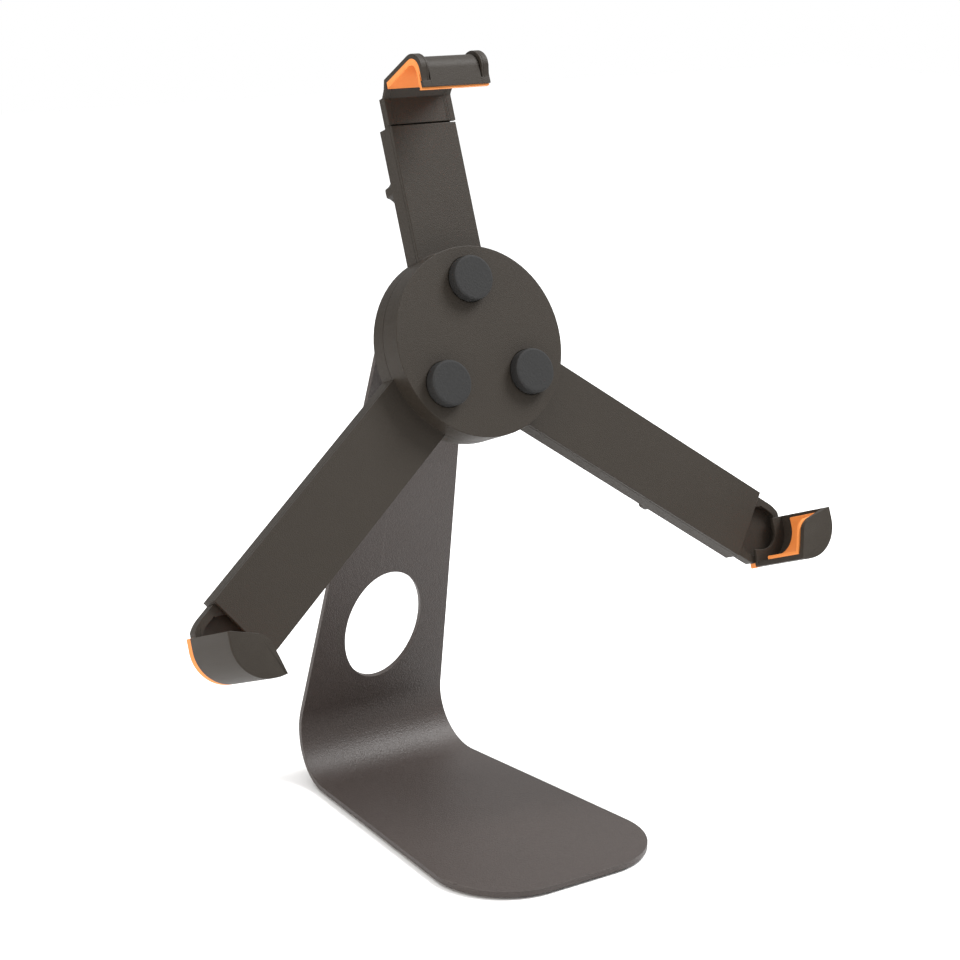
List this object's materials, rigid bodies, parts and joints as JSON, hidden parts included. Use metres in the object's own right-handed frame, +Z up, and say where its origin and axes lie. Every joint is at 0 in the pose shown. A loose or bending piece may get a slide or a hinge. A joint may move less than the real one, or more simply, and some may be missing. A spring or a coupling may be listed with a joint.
{
  "type": "tablet stand",
  "caption": "Desk stand for a tablet: bent steel foot with a cable hole, tilt hinge, swivel hub and sliding arms with lined claws.",
  "frame": {"origin": "underside of the anti-slip mat, on the centre plane, 60 mm behind the front edge of the foot", "axes": "+X to the right seen from the front, +Y to the back, +Z up"},
  "size_m": [0.2528, 0.1405, 0.2799],
  "materials": {
    "powder_coat": "fine textured powder coat",
    "shell_plastic": "matte moulded",
    "grip_rubber": "orange soft rubber",
    "black_rubber": "matte",
    "zinc_steel": "zinc plated",
    "black_steel": "black coated",
    "insert_brass": "satin",
    "bearing_plastic": "natural acetal"
  },
  "bodies": {
    "foot": {"foot_plate": "powder_coat", "foot_mat": "black_rubber", "hinge_bracket": "black_steel", "bracket_screws": "zinc_steel", "bracket_nuts": "zinc_steel", "tilt_bolt": "zinc_steel", "tilt_disc_springs": "zinc_steel", "tilt_lock_nut": "zinc_steel", "tilt_friction_washers": "black_rubber"},
    "swivel_head": {"swivel_knuckle": "black_steel", "swivel_spindle": "zinc_steel", "swivel_friction_disc": "black_rubber", "swivel_thrust_washer": "zinc_steel", "swivel_wave_washer": "zinc_steel", "swivel_nut": "zinc_steel"},
    "hub": {"hub_rear_shell": "shell_plastic", "hub_front_cover": "shell_plastic", "hub_screws": "zinc_steel", "hub_rest_pads": "black_rubber", "swivel_bush": "bearing_plastic", "lock_inserts": "insert_brass", "lock_pads": "black_rubber", "stop_pins": "zinc_steel"},
    "top_slide": {"top_arm": "shell_plastic", "top_claw_shell": "shell_plastic", "top_claw_liner": "grip_rubber", "top_claw_screws": "zinc_steel"},
    "left_slide": {"left_arm": "shell_plastic", "left_claw_shell": "shell_plastic", "left_claw_liner": "grip_rubber", "left_claw_band": "grip_rubber", "left_claw_screws": "zinc_steel"},
    "right_slide": {"right_arm": "shell_plastic", "right_claw_shell": "shell_plastic", "right_claw_liner": "grip_rubber", "right_claw_band": "grip_rubber", "right_claw_screws": "zinc_steel"},
    "top_lock": {"top_knob": "shell_plastic", "top_knob_stud": "zinc_steel"},
    "left_lock": {"left_knob": "shell_plastic", "left_knob_stud": "zinc_steel"},
    "right_lock": {"right_knob": "shell_plastic", "right_knob_stud": "zinc_steel"}
  },
  "joints": [
    {"name": "tilt", "type": "hinge", "parent": "foot", "child": "swivel_head", "pos_m": [0, 0.02684, 0.17239], "axis": [-1, 0, 0], "range_deg": [-20, 38]},
    {"name": "swivel", "type": "hinge", "parent": "swivel_head", "child": "hub", "pos_m": [0, 0.0142, 0.17714], "axis": [0, -0.9361, 0.3518], "continuous": true},
    {"name": "top_arm_slide", "type": "slide", "parent": "hub", "child": "top_slide", "axis": [0, 0.3518, 0.9361], "range_m": [0, 0.02]},
    {"name": "right_arm_slide", "type": "slide", "parent": "hub", "child": "right_slide", "axis": [0.7992, -0.2115, -0.5627], "range_m": [0, 0.02]},
    {"name": "left_arm_slide", "type": "slide", "parent": "hub", "child": "left_slide", "axis": [-0.7992, -0.2115, -0.5627], "range_m": [0, 0.02]},
    {"name": "top_lock_turn", "type": "hinge", "parent": "hub", "child": "top_lock", "pos_m": [0, 0.04374, 0.23014], "axis": [0, -0.9361, 0.3518], "range_deg": [0, 270]},
    {"name": "right_lock_turn", "type": "hinge", "parent": "hub", "child": "right_lock", "pos_m": [0.07991, 0.00148, 0.11771], "axis": [0, -0.9361, 0.3518], "range_deg": [0, 270]},
    {"name": "left_lock_turn", "type": "hinge", "parent": "hub", "child": "left_lock", "pos_m": [-0.07991, 0.00148, 0.11771], "axis": [0, -0.9361, 0.3518], "range_deg": [0, 270]}
  ]
}
